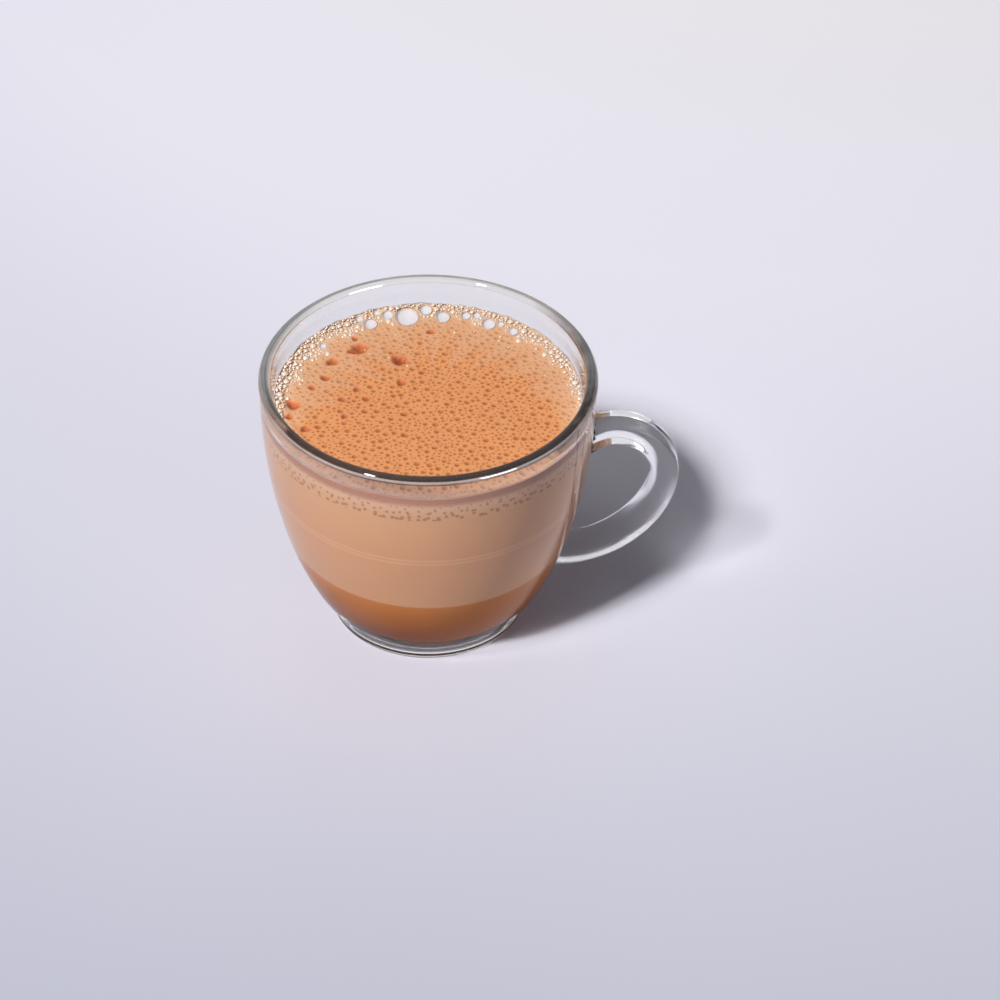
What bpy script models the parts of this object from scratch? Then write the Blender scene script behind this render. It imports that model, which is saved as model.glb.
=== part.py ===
"""A glass tea cup with a loop handle, filled with masala chai under a layer of froth.

The cup stands on z = 0 with its axis on x = y = 0, and its handle points along +X.
Lengths are in metres.
"""

import math

import bmesh
import bpy
from mathutils import Vector

# Cup
CUP_HEIGHT = 0.0734
RIM_RADIUS = 0.042
RIM_THICKNESS = 0.0030
FOOT_RADIUS = 0.0252
FOOT_ROUNDING = 0.0012
FOOT_ROUNDING_STEPS = 3
FLOOR_HEIGHT = 0.0050
FLOOR_RADIUS = 0.0185
FLOOR_DOME = 0.0006
FLOOR_RING_SHARE = 0.55
FLOOR_RING_DOME = 0.7
TURN_STEPS = 72
WALL_STEPS = 12
RIM_STEPS = 6
HALVINGS = 30

# The walls are cubic curves of (radius, height) from the foot or floor up to the rim bead
OUTER_WALL = (
    (0.0250, 0.0040),
    (0.0291, 0.0056),
    (0.0420, 0.0305),
    (0.0418, 0.0690),
)
INNER_WALL = (
    (FLOOR_RADIUS, FLOOR_HEIGHT),
    (0.0346, 0.0135),
    (0.0375, 0.0481),
    (0.0383, 0.0680),
)

# Handle: a flattened loop whose middle line is two cubic curves of (x, z)
HANDLE_TOP = (
    (0.0370, 0.0515),
    (0.0470, 0.0615),
    (0.0597, 0.0535),
    (0.0597, 0.0430),
)
HANDLE_BOTTOM = (
    (0.0597, 0.0430),
    (0.0597, 0.0277),
    (0.0423, 0.0126),
    (0.0300, 0.0180),
)
HANDLE_HALF_WIDTH = 0.0046
HANDLE_HALF_DEPTH = 0.0032
HANDLE_SQUARENESS = 2.4
ROOT_FLARE = 0.55
ROOT_FLARE_FALL = 1.5
ROOT_FLARE_ACROSS = 0.6
ROOT_LENGTH = 0.16
HANDLE_STEPS = 18
HANDLE_SIDES = 16
ROOT_DEPTH_IN_WALL = 0.0012

# Drink
FROTH_LEVEL = 0.0658
FROTH_DEPTH = 0.0068
GAP = 0.0003
DRINK_STEPS = 11
DRINK_STEPS_NEAR_FLOOR = 1.6
FROTH_RINGS = 25
FROTH_SIDE_STEPS = 3

# Clear bubbles that stand against the far wall: angle round the axis in degrees, and radius
WALL_BUBBLES = (
    (99, 0.0031),
    (116, 0.0020),
    (83, 0.0020),
    (63, 0.0019),
    (51, 0.0016),
    (74, 0.0015),
    (107, 0.0016),
    (91, 0.0015),
    (128, 0.0013),
    (141, 0.0014),
)
BUBBLE_RISE = 0.55
BUBBLE_SKIRT = 1.2

# Open bubbles, as pits: x, y and radius
PITS = (
    (-0.0170, 0.0202, 0.0021),
    (-0.0073, 0.0157, 0.0022),
    (-0.0248, 0.0153, 0.0017),
    (-0.0341, -0.0036, 0.0019),
    (-0.0308, -0.0135, 0.0016),
    (-0.0263, 0.0077, 0.0013),
    (-0.0070, 0.0057, 0.0015),
    (-0.0177, 0.0033, 0.0013),
    (-0.0210, -0.0077, 0.0013),
    (0.0004, 0.0268, 0.0018),
    (0.0044, 0.0166, 0.0013),
    (0.0082, -0.0166, 0.0013),
    (-0.0061, -0.0156, 0.0013),
)
PIT_DEPTH = 0.8
PIT_SKIRT = 1.25

GLASS_COLOUR = (0.93, 0.96, 0.94, 1.0)
GLASS_IOR = 1.5
CHAI_COLOUR = (0.45, 0.22, 0.12, 1.0)
FROTH_COLOUR = (0.78, 0.40, 0.17, 1.0)


def clear_scene():
    for old in list(bpy.data.objects):
        bpy.data.objects.remove(old, do_unlink=True)


def cubic(ends, share):
    """The point at this share of a cubic curve given by its four control points."""
    start, first, second, end = (Vector(p) for p in ends)
    rest = 1 - share
    return (
        start * rest**3
        + first * (3 * rest**2 * share)
        + second * (3 * rest * share**2)
        + end * share**3
    )


def radius_at(wall, height):
    """The radius where this wall curve passes a height, by halving."""
    low, high = 0.0, 1.0
    for _ in range(HALVINGS):
        middle = (low + high) / 2
        if cubic(wall, middle).y < height:
            low = middle
        else:
            high = middle
    return cubic(wall, low).x


def turned(name, profile, steps=TURN_STEPS):
    """A closed solid from a profile of (radius, height) that starts and ends on the axis."""
    build = bmesh.new()
    rings = []
    for radius, height in profile:
        if radius < 1e-7:
            rings.append([build.verts.new((0, 0, height))])
            continue
        angles = [2 * math.pi * i / steps for i in range(steps)]
        rings.append([build.verts.new((radius * math.cos(a), radius * math.sin(a), height)) for a in angles])
    for lower, upper in zip(rings, rings[1:]):
        for i in range(steps):
            j = (i + 1) % steps
            corners = [lower[i % len(lower)], lower[j % len(lower)], upper[j % len(upper)], upper[i % len(upper)]]
            build.faces.new(dict.fromkeys(corners))
    return as_object(name, build)


def as_object(name, build):
    bmesh.ops.recalc_face_normals(build, faces=build.faces)
    mesh = bpy.data.meshes.new(name)
    build.to_mesh(mesh)
    build.free()
    mesh.shade_smooth()
    mesh.set_sharp_from_angle(angle=math.radians(40))
    obj = bpy.data.objects.new(name, mesh)
    bpy.context.collection.objects.link(obj)
    return obj


def as_guide(obj):
    obj.hide_render = True
    obj.display_type = "WIRE"
    return obj


def boolean(obj, operation, other):
    modifier = obj.modifiers.new(operation.title(), "BOOLEAN")
    modifier.operation = operation
    modifier.solver = "EXACT"
    modifier.object = other


def material(name, colour, roughness, transmission=0.0):
    made = bpy.data.materials.new(name)
    made.use_nodes = True
    shader = made.node_tree.nodes["Principled BSDF"]
    shader.inputs["Base Color"].default_value = colour
    shader.inputs["Roughness"].default_value = roughness
    shader.inputs["Metallic"].default_value = 0.0
    shader.inputs["Transmission Weight"].default_value = transmission
    shader.inputs["IOR"].default_value = GLASS_IOR
    return made


def foot_profile():
    """The flat underside, its rounded edge and the slight waist above it."""
    centre = FOOT_RADIUS - FOOT_ROUNDING
    points = [(0.0, 0.0)]
    for i in range(FOOT_ROUNDING_STEPS + 1):
        turn = math.pi / 2 * (i / FOOT_ROUNDING_STEPS - 1)
        points.append((centre + FOOT_ROUNDING * math.cos(turn), FOOT_ROUNDING * (1 + math.sin(turn))))
    return points


def rim_profile():
    """The round bead between the outer and the inner wall, from outside to inside."""
    half = RIM_THICKNESS / 2
    centre = Vector((RIM_RADIUS - half, CUP_HEIGHT - half))
    points = []
    for i in range(RIM_STEPS + 1):
        turn = math.pi * i / RIM_STEPS
        points.append(tuple(centre + half * Vector((math.cos(turn), math.sin(turn)))))
    return points


def wall_points(wall):
    return [tuple(cubic(wall, i / WALL_STEPS)) for i in range(WALL_STEPS + 1)]


def cup_shell():
    """The cup's wall and base as one turned solid, without its handle."""
    inside = wall_points(INNER_WALL)[::-1]
    ring = (FLOOR_RADIUS * FLOOR_RING_SHARE, FLOOR_HEIGHT + FLOOR_DOME * FLOOR_RING_DOME)
    floor = [ring, (0.0, FLOOR_HEIGHT + FLOOR_DOME)]
    return turned("glass_cup", foot_profile() + wall_points(OUTER_WALL) + rim_profile() + inside + floor)


def wall_core():
    """A solid that ends inside the cup's wall: it trims the handle's roots."""
    profile = [(0.0, FLOOR_HEIGHT)]
    for i in range(WALL_STEPS + 1):
        radius, height = cubic(INNER_WALL, i / WALL_STEPS)
        profile.append((radius + ROOT_DEPTH_IN_WALL, height))
    profile.append((0.0, INNER_WALL[-1][1]))
    return as_guide(turned("wall_core", profile))


def loop_section(place, along, flare):
    """The corners of the handle's rounded section, across the loop at a place (x, z)."""
    outward = Vector((along.y, -along.x)).normalized()
    half_width = HANDLE_HALF_WIDTH * (1 + (flare - 1) * ROOT_FLARE_ACROSS)
    corners = []
    for i in range(HANDLE_SIDES):
        turn = 2 * math.pi * i / HANDLE_SIDES
        across = math.copysign(abs(math.cos(turn)) ** (2 / HANDLE_SQUARENESS), math.cos(turn))
        out = math.copysign(abs(math.sin(turn)) ** (2 / HANDLE_SQUARENESS), math.sin(turn))
        shift = outward * (out * HANDLE_HALF_DEPTH * flare)
        corners.append((place.x + shift.x, across * half_width, place.y + shift.y))
    return corners


def handle():
    """The loop as one swept solid, wider where it grows out of the wall."""
    shares = [i / HANDLE_STEPS for i in range(HANDLE_STEPS + 1)]
    middle = [cubic(HANDLE_TOP, s) for s in shares] + [cubic(HANDLE_BOTTOM, s) for s in shares[1:]]
    build = bmesh.new()
    rings = []
    last = len(middle) - 1
    for i, place in enumerate(middle):
        along = middle[min(i + 1, last)] - middle[max(i - 1, 0)]
        near_root = max(0.0, 1 - min(i, last - i) / (last * ROOT_LENGTH))
        corners = loop_section(place, along, 1 + ROOT_FLARE * near_root**ROOT_FLARE_FALL)
        rings.append([build.verts.new(c) for c in corners])
    for first, second in zip(rings, rings[1:]):
        for k in range(HANDLE_SIDES):
            n = (k + 1) % HANDLE_SIDES
            build.faces.new((first[k], first[n], second[n], second[k]))
    build.faces.new(rings[0])
    build.faces.new(rings[-1])
    return as_guide(as_object("handle_loop", build))


def glass_cup():
    cup = cup_shell()
    loop = handle()
    boolean(loop, "DIFFERENCE", wall_core())
    boolean(cup, "UNION", loop)
    cup.data.materials.append(material("clear_glass", GLASS_COLOUR, 0.0, transmission=1.0))
    return cup


def chai():
    """The drink, from the cup's floor up to the underside of the froth."""
    top = FROTH_LEVEL - FROTH_DEPTH - GAP
    floor = FLOOR_HEIGHT + FLOOR_DOME + GAP
    profile = [(0.0, floor)]
    for i in range(DRINK_STEPS + 1):
        height = floor + (top - floor) * (i / DRINK_STEPS) ** DRINK_STEPS_NEAR_FLOOR
        profile.append((radius_at(INNER_WALL, height) - GAP, height))
    profile.append((0.0, top))
    drink = turned("chai", profile)
    drink.data.materials.append(material("milk_tea", CHAI_COLOUR, 0.25))
    return drink


def wall_bubbles():
    """Centre and radius of each clear bubble, touching the wall."""
    wall = radius_at(INNER_WALL, FROTH_LEVEL) - GAP
    angles = [(math.radians(a), radius) for a, radius in WALL_BUBBLES]
    return [((wall - radius) * Vector((math.cos(a), math.sin(a))), radius) for a, radius in angles]


def pits():
    """Centre and radius of each open bubble."""
    return [(Vector((x, y)), radius) for x, y, radius in PITS]


def froth_height(place, raised, sunk):
    """The froth's surface: a level with domes against the wall and open pits."""
    height = FROTH_LEVEL
    for centre, radius in raised:
        share = (place - centre).length / (radius * BUBBLE_SKIRT)
        if share < 1:
            height = max(height, FROTH_LEVEL + BUBBLE_RISE * radius * math.sqrt(1 - share**2))
    for centre, radius in sunk:
        share = (place - centre).length / (radius * PIT_SKIRT)
        if share < 1:
            height = min(height, FROTH_LEVEL - PIT_DEPTH * radius * (1 - share**2))
    return height


def froth():
    """A layer of even triangles on top, with its bubbles as relief, and a side that follows the wall."""
    build = bmesh.new()
    raised = wall_bubbles()
    sunk = pits()
    edge = radius_at(INNER_WALL, FROTH_LEVEL) - GAP
    rings = [[build.verts.new((0, 0, froth_height(Vector((0, 0)), raised, sunk)))]]
    for ring in range(1, FROTH_RINGS + 1):
        row = []
        for i in range(6 * ring):
            turn = 2 * math.pi * i / (6 * ring)
            place = edge * ring / FROTH_RINGS * Vector((math.cos(turn), math.sin(turn)))
            row.append(build.verts.new((place.x, place.y, froth_height(place, raised, sunk))))
        rings.append(row)
    for ring in range(1, FROTH_RINGS + 1):
        inner, outer = rings[ring - 1], rings[ring]
        for side in range(6):
            for i in range(ring):
                a = outer[(side * ring + i) % len(outer)]
                b = outer[(side * ring + i + 1) % len(outer)]
                c = inner[(side * (ring - 1) + i) % len(inner)]
                build.faces.new((a, b, c))
                if i < ring - 1:
                    d = inner[(side * (ring - 1) + i + 1) % len(inner)]
                    build.faces.new((c, b, d))
    above = rings[-1]
    count = len(above)
    for step in range(1, FROTH_SIDE_STEPS + 1):
        height = FROTH_LEVEL - FROTH_DEPTH * step / FROTH_SIDE_STEPS
        radius = radius_at(INNER_WALL, height) - GAP
        turns = [2 * math.pi * i / count for i in range(count)]
        below = [build.verts.new((radius * math.cos(t), radius * math.sin(t), height)) for t in turns]
        for i in range(count):
            j = (i + 1) % count
            build.faces.new((above[i], below[i], below[j], above[j]))
        above = below
    build.faces.new(above)
    layer = as_object("froth", build)
    layer.data.materials.append(material("milk_froth", FROTH_COLOUR, 0.4))
    return layer


def main():
    clear_scene()
    glass_cup()
    chai()
    froth()


main()
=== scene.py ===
import math
import random

import bmesh
import bpy
import numpy as np
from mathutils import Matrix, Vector, kdtree


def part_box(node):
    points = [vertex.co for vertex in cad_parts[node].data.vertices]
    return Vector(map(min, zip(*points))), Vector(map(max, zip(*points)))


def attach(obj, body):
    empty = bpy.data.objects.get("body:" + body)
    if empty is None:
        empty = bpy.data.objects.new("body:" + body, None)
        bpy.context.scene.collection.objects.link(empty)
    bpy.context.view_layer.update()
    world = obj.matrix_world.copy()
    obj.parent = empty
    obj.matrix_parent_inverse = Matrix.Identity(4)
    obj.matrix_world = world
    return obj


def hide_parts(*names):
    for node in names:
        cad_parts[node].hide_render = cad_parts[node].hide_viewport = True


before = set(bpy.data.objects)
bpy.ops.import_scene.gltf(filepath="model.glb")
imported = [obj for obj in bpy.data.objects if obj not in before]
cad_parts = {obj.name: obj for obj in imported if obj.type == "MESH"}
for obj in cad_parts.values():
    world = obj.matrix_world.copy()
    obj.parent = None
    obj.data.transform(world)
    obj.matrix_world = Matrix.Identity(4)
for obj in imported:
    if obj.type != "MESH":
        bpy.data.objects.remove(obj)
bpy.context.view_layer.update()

# Cup, in metres, as in the solids
CUP_LOW, CUP_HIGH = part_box("glass_cup")
CUP_HEIGHT = CUP_HIGH.z
RIM_RADIUS = -CUP_LOW.x
RIM_THICKNESS = 0.0030
RIM_MIDDLE_RADIUS = RIM_RADIUS - RIM_THICKNESS / 2
RIM_MIDDLE_HEIGHT = CUP_HEIGHT - RIM_THICKNESS / 2
FOOT_RADIUS = 0.0252
FOOT_ROUNDING = 0.0012
FLOOR_HEIGHT = 0.0050
FLOOR_RADIUS = 0.0185
FLOOR_DOME = 0.0006
FLAT_FLOOR_SHARE = 0.9
OUTER_WALL = (
    (0.0250, 0.0040),
    (0.0291, 0.0056),
    (0.0420, 0.0305),
    (0.0418, 0.0690),
)
INNER_WALL = (
    (FLOOR_RADIUS, FLOOR_HEIGHT),
    (0.0346, 0.0135),
    (0.0375, 0.0481),
    (0.0383, 0.0680),
)
ON_AXIS = 1e-7
CURVE_SAMPLES = 400
SHARP_ANGLE = math.radians(50)
TURN_STEPS = 256
FOOT_STEPS = 8
FLOOR_STEPS = 8
WALL_STEPS = 72
RIM_STEPS = 30

# Handle
HANDLE_TOP = (
    (0.0370, 0.0515),
    (0.0470, 0.0615),
    (0.0597, 0.0535),
    (0.0597, 0.0430),
)
HANDLE_BOTTOM = (
    (0.0597, 0.0430),
    (0.0597, 0.0277),
    (0.0423, 0.0126),
    (0.0300, 0.0180),
)
HANDLE_HALF_WIDTH = 0.0038
HANDLE_HALF_DEPTH = 0.0035
HANDLE_SQUARENESS = 4.0
ROOT_FLARE = 0.22
ROOT_FLARE_FALL = 1.5
ROOT_FLARE_ACROSS = 0.6
ROOT_LENGTH = 0.16
ROOT_DEPTH_IN_WALL = 0.0012
HANDLE_STEPS = 60
HANDLE_SIDES = 48

# Drink
FROTH_LEVEL = 0.0658
FROTH_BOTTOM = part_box("froth")[0].z
INTO_WALL = 0.00015
DISC_RADIUS = 0.03824
FROTH_EDGE = DISC_RADIUS + INTO_WALL
FROTH_RINGS = 165
SIDE_RINGS = 14
TEA_STEPS = 89
# Top of the tea's band of painted shade, and two pale lines of painted reflection round the tea
SHADED_BAND_TOP = 0.0262
REFLECTION_LINE_HEIGHTS = (0.0440, 0.0452)
REFLECTION_LINE_HALF_WIDTH = 0.0004
SWELL = 0.00012
SWELL_ACROSS = 210
SWELL_SHIFT = 1.0
SWELL_DEEP = 260
FROTH_SHARP_ANGLE = math.radians(60)
MENISCUS = 0.0002

# Waves, each a size, how often it turns, and a shift
RING_WAVES = ((0.20, 0.31, 0.0), (0.15, 0.83, 1.0))
PIT_WAVES = ((0.10, 2, 1.0), (0.08, 3, 2.3), (0.05, 5, 1.0))
FILM_WAVES = ((0.00015, 0.35, 0.0), (0.00010, 0.90, 0.0))

# Zone of clear bubbles at the wall, by degrees round the cup
RING_ANGLES = (-180, -168, -158, -20, 0, 30, 60, 90, 120, 150, 180)
RING_DEPTHS = (0.0038, 0.0022, 0.0, 0.0, 0.0022, 0.0040, 0.0056, 0.0054, 0.0058, 0.0058, 0.0038)
RING_FILL = 1.25
CAP_CLIMB = 0.0007
CAP_CLIMB_REACH = 0.004

# Large bubbles, pits and glints, by their places in the photo
BIG_BUBBLES = (
    (-0.0054, 0.0332, 0.0030),
    (-0.0147, 0.0300, 0.0017),
    (-0.0103, 0.0338, 0.0014),
    (-0.0006, 0.0360, 0.0016),
    (0.0038, 0.0330, 0.0018),
    (0.0097, 0.0334, 0.0012),
    (0.0125, 0.0335, 0.0010),
    (0.0155, 0.0300, 0.0017),
    (0.0185, 0.0298, 0.0009),
    (0.0217, 0.0268, 0.0012),
    (-0.0176, 0.0320, 0.0010),
    (-0.0266, 0.0206, 0.0009),
    (-0.0132, 0.0346, 0.0009),
)
BUBBLE_STRETCH = 1.3
BUBBLE_SPACE = 1.1
HOLLOW_DEPTH = 0.5
BORDER_CLIMB = 0.5
BORDER_THICKNESS = 0.00010
BORDER_POINTS = 40
TUBE_SIDES = 8
PITS = (
    (-0.0172, 0.0198, 0.0024),
    (-0.0191, 0.0186, 0.0014),
    (-0.0074, 0.0148, 0.0022),
    (-0.0063, 0.0155, 0.0013),
    (-0.0241, 0.0143, 0.0017),
    (-0.0257, 0.0077, 0.0014),
    (-0.0290, 0.0036, 0.0011),
    (-0.0177, 0.0031, 0.0011),
    (-0.0153, -0.0007, 0.0011),
    (-0.0213, -0.0011, 0.0011),
    (-0.0067, 0.0058, 0.0014),
    (-0.0015, 0.0099, 0.0009),
    (0.0007, 0.0266, 0.0012),
    (-0.0334, -0.0031, 0.0021),
    (-0.0342, -0.0079, 0.0012),
    (-0.0300, -0.0125, 0.0014),
    (-0.0270, -0.0118, 0.0009),
    (-0.0156, -0.0058, 0.0009),
    (-0.0206, -0.0077, 0.0010),
    (-0.0058, -0.0069, 0.0010),
    (-0.0057, -0.0151, 0.0010),
    (-0.0186, 0.0238, 0.0010),
)
PIT_SEED_STEP = 1.7
GLINTS = (
    (-0.0149, 0.0174),
    (-0.0053, 0.0125),
    (-0.0099, 0.0158),
    (-0.0320, 0.0051),
    (-0.0231, 0.0224),
    (-0.0082, 0.0253),
    (0.0183, 0.0245),
    (0.0180, 0.0230),
    (0.0202, 0.0199),
    (0.0227, 0.0245),
    (0.0260, 0.0224),
    (0.0273, 0.0195),
    (0.0290, 0.0163),
    (0.0291, 0.0086),
    (0.0067, 0.0262),
    (0.0117, 0.0266),
    (-0.0160, 0.0191),
)
GLINT_RADII = (0.00018, 0.00034)

# Scattered bubbles, as a count with a least and a most radius
SEED = 11
EDGE_BUBBLES = ((34, 0.00070, 0.00100), (240, 0.00040, 0.00066), (900, 0.00018, 0.00036))
EDGE_BUBBLE_GAP = -0.00008
DIMPLE_COUNT = 1500
DIMPLE_LEAST = 0.00028
DIMPLE_SPREAD = 0.00052
DIMPLE_POWER = 2.6
SMALL_DIMPLES = (700, 0.00014, 0.00026)
DIMPLE_GAP = 0.00026
DIMPLE_FROM_WALL = 0.0006
DIMPLE_RING_SHARE = 0.8
TRIES = 40
GRID_CELL = 0.003
GRID_REACH = 2

# Dimples and pits, by shares of the radius, and the tone in and round them
SINK_DEPTH = 0.42
SINK_REACH = 1.6
PIT_POWER = 1.5
FLAT_TONE = 0.62
LIGHT_RING = 0.08
LIGHT_RING_AT = 1.35
LIGHT_RING_WIDTH = 0.25
PIT_TONE_FALL = 0.26
# Painted shade on each pit's side towards the key lamp
PIT_LAMP_FALL = 0.30
LAMP_WAY = (-0.75, -0.65)

# Paler froth at the wall: a share of the bubble zone's depth, and a distance more
PALE_START = (1.5, 0.0012)
PALE_WIDTH = (0.8, 0.0015)
WIDE_PALE_REACH = (3.6, 0.0040)

# Film on the wall, with its arc in degrees
FILM_START = -12
FILM_ARC = 220
FILM_STEPS = 220
FILM_LIFT = 0.0005
FILM_THICKNESS = 0.00016
FILM_INSET = 0.0001
FILM_END_SHARE = 0.2
FILM_TAPER_STEPS = 12

# Starts and widths of gradual changes
MENISCUS_SPAN = (0.0362, 0.0018)
DIMPLE_SPAN = (0.50, 0.80)
PIT_SPAN = (0.60, 0.65)
HOLLOW_SPAN = (0.85, 0.15)
FRONT_FROTH_SPAN = (-0.15, 0.40)
EDGE_SHADE_SPAN = (FROTH_EDGE - 0.0010, 0.0008)
FRONT_RIM_SPAN = (0.12, 0.63)
BACK_RIM_SPAN = (0.25, 0.50)
WALL_SHADE_SPAN = (FROTH_LEVEL - 0.0002, 0.0006)
WALL_SHADE_FADE_SPAN = (0.0, 0.025)
HANDLE_MIRROR_SPAN = (0.30, 0.15)
HANDLE_BELOW_SPAN = (0.0, 0.30)

# Glass: colours, and how far it bends light at each height, which is least in front of the deep tea
CLEAR_GLASS = (0.98, 0.988, 0.982)
BODY_SHADOW = (0.88, 0.88, 0.88)
RIM_SHADOW = (0.86, 0.86, 0.86)
GLASS_IOR = 1.5
WALL_IOR = ((0.0048, GLASS_IOR), (0.0064, 1.16), (0.0248, 1.16), (0.0400, GLASS_IOR))
# Painted shade: a bluish tint on the near wall above the froth, which dims the froth seen through it, less
# towards the right
WALL_SHADE_TINT = (0.42, 0.50, 0.70)
WALL_SHADE_FADE = 0.65
WALL_SHADE_GAIN = 1.5
HANDLE_MIRROR = 0.7
HANDLE_MIRROR_TOP = 0.060
HANDLE_MIRROR_WIDTH = 0.0060
CLEAR_OF_WALL = 0.0004

# Rim lines: painted shade that darkens what shows through the glass, then a painted mirror, by degrees round
# its section from the outside to the inside
RIM_LEFT = (
    (0, 0.36), (30, 0.44), (60, 0.46), (84, 0.36), (99, 0.60),
    (114, 0.36), (132, 0.24), (147, 0.08), (180, 0.04),
)
RIM_RIGHT = (
    (0, 0.60), (24, 0.74), (45, 0.58), (63, 0.78), (84, 0.60),
    (108, 0.68), (129, 0.80), (150, 0.55), (165, 0.72), (180, 0.2),
)
RIM_FRONT = ((0, 0.78), (9, 0.74), (15, 0.30), (36, 0.24), (45, 1.3), (180, 1.3))
RIM_BACK = ((0, 0.30), (60, 0.28), (102, 0.20), (114, 0.06), (120, 0.0), (180, 0.0))
MIRROR_LEFT = ((0, 0.50), (130, 0.50), (150, 0.75), (158, 0.70), (170, 0.1), (180, 0.0))
MIRROR_RIGHT = ((0, 0.38), (180, 0.34))
MIRROR_FRONT = ((0, 0.35), (9, 0.30), (15, 0.52), (36, 0.52), (45, 0.0), (180, 0.0))
MIRROR_BACK = ((0, 0.42), (102, 0.42), (117, 0.92), (155, 0.92), (168, 0.1), (180, 0.0))
# Colours of the rim's painted shade, from clear to near black
RIM_SHADE_TINTS = ((0.0, (0.96, 0.97, 0.965)), (0.5, (0.46, 0.475, 0.48)), (1.0, (0.007, 0.0055, 0.005)))
RIM_SPECULAR = 0.3
# Streaks that make the rim's painted shade uneven
RIM_STREAK_SCALE = 130.0
RIM_STREAKS = (0.75, 1.25)

# The part of a noise node's range that is used
NOISE_SPAN = (0.3, 0.7)
BEAD_NOISE_SPAN = (0.4, 0.65)

# Tea colours, from the bottom up: the deep brown band is painted shade for a darker reflection on the glass,
# and the pale line is a painted reflection
SHADED_BAND_FOOT = (0.23, 0.052, 0.012)
SHADED_BAND_UPPER = (0.43, 0.140, 0.026)
CHAI_TAN = (0.515, 0.270, 0.148)
CHAI_REFLECTION_LINE = (0.60, 0.350, 0.215)
CHAI_TOP = (0.525, 0.298, 0.172)
CHAI_CLOUD = (0.62, 0.36, 0.22)
CHAI_CLOUD_SCALE = 60.0
CHAI_CLOUD_DETAIL = 3.0
CHAI_CLOUD_SHARE = 0.10
DEEP_FOOT_SHARE = 0.05

# Froth colours, on top and then at the side
FROTH_TONES = (
    (0.0, (0.40, 0.125, 0.038)),
    (0.25, (0.52, 0.180, 0.062)),
    (0.60, (0.72, 0.300, 0.118)),
    (0.80, (0.80, 0.375, 0.165)),
)
PIT_TONES = ((0.0, (0.26, 0.042, 0.016)), (0.6, (0.54, 0.150, 0.052)))
FINE_FROTH = (0.86, 0.47, 0.24)
FINE_SCALE = 1100.0
FINE_WIDTH = 0.12
FINE_SHARE = 0.20
PALE_FROTH = (0.72, 0.52, 0.36)
PALE_SHARE = 0.86
WIDE_PALE_SHARE = 0.62
WIDE_PALE_POWER = 0.8
# Painted light: the pale of the bright glass and floor behind, seen through a clear bubble
CLEAR_BUBBLE = (0.75, 0.74, 0.80)
FROTH_SHADE = (0.34, 0.155, 0.115)
TOP_SHADE_SHARE = 0.85
SIDE_SHADE_SHARE = 0.8
SIDE_SHADE_DEPTHS = (0.0026, 0.0014)
SIDE_TONES = ((0.15, CHAI_TOP), (0.55, (0.54, 0.34, 0.23)), (1.0, (0.52, 0.32, 0.22)))
DOT_COLOUR = (0.32, 0.15, 0.08)
DOT_SCALE = 640.0
DOT_HEIGHTS = (0.0002, 0.0048)
DOT_SIZES = (0.40, 0.16)
DOT_EDGE = 0.10
DOT_SHARE = 0.85

# Bubble and film colours
SKIN_COLOUR = (0.85, 0.85, 0.88)
SKIN_ALPHA = 0.22
GLINT_COLOUR = (0.88, 0.74, 0.58)
# Fine bubbles: the darker outline is painted shade, for the dark edge that a clear bubble shows
BEAD_TONES = ((0.16, (0.58, 0.45, 0.38)), (0.36, (0.70, 0.60, 0.54)), (0.75, (0.68, 0.58, 0.51)))
BEAD_PATCH = (0.70, 0.50, 0.36)
BEAD_PATCH_SCALE = 350.0
BEAD_PATCH_SHARE = 0.55
FILM_TONES = ((0.3, (0.30, 0.24, 0.22)), (0.7, (0.56, 0.50, 0.50)))
FILM_SCALE = 250.0

# Floor and surroundings
STAGE_HALF = 3.0
STAGE_DROP = 0.0001
# Painted light on the floor: brightest at this place behind the cup, darker in these tones away from it
FLOOR_BRIGHTEST = (0.16, 0.50, 0.0)
FLOOR_FALL = (0.05, 0.75)
FLOOR_TONES = ((0.0, (0.98, 0.97, 1.0)), (0.45, (0.83, 0.84, 0.96)), (1.0, (0.42, 0.44, 0.56)))
FILL_COLOUR = (0.84, 0.85, 0.98)
FILL_STRENGTH = 0.045
SHOWN_COLOUR = (0.94, 0.94, 0.98)
SHOWN_STRENGTH = 0.80

# Lamps: place, target, size, power and colour
LAMPS = {
    "key": ((-1.39, -1.39, 2.45), (0, 0, 0.04), 0.24, 115.0, (1.0, 0.97, 0.93)),
    "overhead": ((0.15, 0.75, 2.3), (0, 0.1, 0), 1.3, 1.0, (0.94, 0.96, 1.0)),
    "side_fill": ((1.5, -1.6, 0.5), (0, 0, 0.04), 0.9, 7.0, (1.0, 0.96, 0.94)),
    "back_floor": ((0.1, 1.9, 1.0), (0.1, 0.8, 0), 0.9, 2.4, (0.90, 0.93, 1.0)),
}

# Camera
FOCAL_LENGTH = 115.2
SENSOR_WIDTH = 36.0
CAMERA_PLACE = (0.0, -0.62383, 0.55833)
CAMERA_PITCH = math.radians(40.14)
CAMERA_SHIFT = 0.0718


def cubic(ends, shares):
    """Points at these shares of a cubic curve given by its four control points."""
    start, first, second, end = (np.array(p) for p in ends)
    share = np.asarray(shares, float)[:, None]
    rest = 1 - share
    return start * rest**3 + first * (3 * rest**2 * share) + second * (3 * rest * share**2) + end * share**3


def radius_at(wall, heights):
    """The wall curve's radius at each height."""
    curve = cubic(wall, np.linspace(0, 1, CURVE_SAMPLES))
    return np.interp(heights, curve[:, 1], curve[:, 0])


def ramped(value, start, width):
    """How far a number, or each of an array, has come from start over this width, held from 0 to 1."""
    return np.clip((value - start) / width, 0.0, 1.0)


def waves(angle, sizes, seed=1.0):
    """The sum of sine waves at this angle."""
    return sum(size * math.sin(times * angle + shift * seed) for size, times, shift in sizes)


# Pieces

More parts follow.
